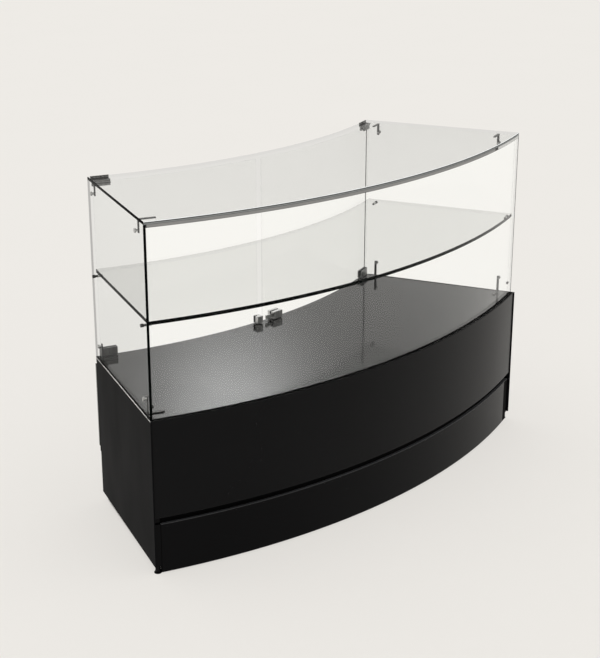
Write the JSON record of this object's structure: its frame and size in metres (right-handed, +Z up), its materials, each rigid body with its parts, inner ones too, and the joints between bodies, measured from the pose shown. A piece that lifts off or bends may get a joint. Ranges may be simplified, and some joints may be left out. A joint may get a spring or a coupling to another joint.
{
  "type": "glass display cabinet",
  "caption": "Curved glass display counter: glass case with a shelf, hinged rear glass doors and a lock, on a gloss black base with storage doors and a recessed groove.",
  "frame": {"origin": "on the floor at the middle of the plan box", "axes": "+X along the width towards the right end seen from the front, +Y from the convex front to the concave rear with the doors, +Z up"},
  "size_m": [1.5, 0.6174, 0.95],
  "materials": {
    "clear_glass": "clear float glass with polished edges",
    "black_board": "gloss black faced board",
    "gloss_cladding": "gloss black sheet",
    "steel": "satin steel",
    "black_steel": "blackened steel",
    "rail_aluminium": "satin anodised",
    "dark_plastic": "moulded",
    "pale_plastic": "translucent white"
  },
  "bodies": {
    "case": {"side_cladding_left": "gloss_cladding", "side_cladding_right": "gloss_cladding", "carcass_side_left": "black_board", "carcass_side_right": "black_board", "bottom_board": "black_board", "centre_partition": "black_board", "deck": "black_board", "front_panel": "black_board", "plinth_front": "black_board", "plinth_rear": "black_board", "plinth_legs": "dark_plastic", "foot_sleeves": "steel", "glass_top": "clear_glass", "glass_front": "clear_glass", "glass_side_left": "clear_glass", "glass_side_right": "clear_glass", "glass_shelf": "clear_glass", "light_rail": "rail_aluminium", "light_filler": "pale_plastic", "light_end_caps": "dark_plastic", "light_strip": "pale_plastic", "light_diffuser": "pale_plastic", "shelf_studs": "steel", "stud_sleeves": "pale_plastic", "brackets_left": "steel", "brackets_right": "steel", "bracket_bolts": "steel", "corner_connectors": "steel", "hinge_plate_left": "steel", "hinge_plate_right": "steel", "deck_bushes": "dark_plastic", "plate_bushes": "dark_plastic", "storage_bushes": "dark_plastic"},
    "left_glass_door": {"glass_door_left": "clear_glass", "clamp_low_left": "steel", "clamp_high_left": "steel", "clamp_screws_left": "black_steel", "strike": "steel"},
    "right_glass_door": {"glass_door_right": "clear_glass", "clamp_low_right": "steel", "clamp_high_right": "steel", "clamp_screws_right": "black_steel", "lock_body": "steel"},
    "plug": {"lock_plug": "black_steel"},
    "bolt": {"lock_bolt": "steel"},
    "left_storage_door": {"storage_door_left": "black_board", "storage_pins_left": "steel", "storage_pull_left": "steel"},
    "right_storage_door": {"storage_door_right": "black_board", "storage_pins_right": "steel", "storage_pull_right": "steel"},
    "front_left_foot": {"foot_front_left": "black_steel"},
    "front_right_foot": {"foot_front_right": "black_steel"},
    "rear_left_foot": {"foot_rear_left": "black_steel"},
    "rear_right_foot": {"foot_rear_right": "black_steel"}
  },
  "joints": [
    {"name": "left_glass_door_swing", "type": "hinge", "parent": "case", "child": "left_glass_door", "pos_m": [-0.54513, 0.29488, 0.434], "axis": [0, 0, 1], "range_deg": [0, 95]},
    {"name": "right_glass_door_swing", "type": "hinge", "parent": "case", "child": "right_glass_door", "pos_m": [0.54513, 0.29488, 0.434], "axis": [0, 0, -1], "range_deg": [0, 95]},
    {"name": "lock_plug_turn", "type": "hinge", "parent": "right_glass_door", "child": "plug", "pos_m": [0.032, 0.19409, 0.4475], "axis": [-0.0211, 0.9998, 0], "range_deg": [0, 90]},
    {"name": "lock_bolt_slide", "type": "slide", "parent": "right_glass_door", "child": "bolt", "axis": [-0.9998, -0.0211, 0], "range_m": [0, 0.027]},
    {"name": "left_storage_door_swing", "type": "hinge", "parent": "case", "child": "left_storage_door", "pos_m": [-0.55368, 0.30045, 0.416], "axis": [0, 0, 1], "range_deg": [0, 100]},
    {"name": "right_storage_door_swing", "type": "hinge", "parent": "case", "child": "right_storage_door", "pos_m": [0.55368, 0.30045, 0.416], "axis": [0, 0, -1], "range_deg": [0, 100]},
    {"name": "front_left_foot_screw", "type": "slide", "parent": "case", "child": "front_left_foot", "axis": [0, 0, -1], "range_m": [0, 0.012]},
    {"name": "front_right_foot_screw", "type": "slide", "parent": "case", "child": "front_right_foot", "axis": [0, 0, -1], "range_m": [0, 0.012]},
    {"name": "rear_left_foot_screw", "type": "slide", "parent": "case", "child": "rear_left_foot", "axis": [0, 0, -1], "range_m": [0, 0.012]},
    {"name": "rear_right_foot_screw", "type": "slide", "parent": "case", "child": "rear_right_foot", "axis": [0, 0, -1], "range_m": [0, 0.012]}
  ],
  "couplings": [
    {"joint": "lock_plug_turn", "follows": "lock_bolt_slide", "rad_per_m": 58.178}
  ]
}
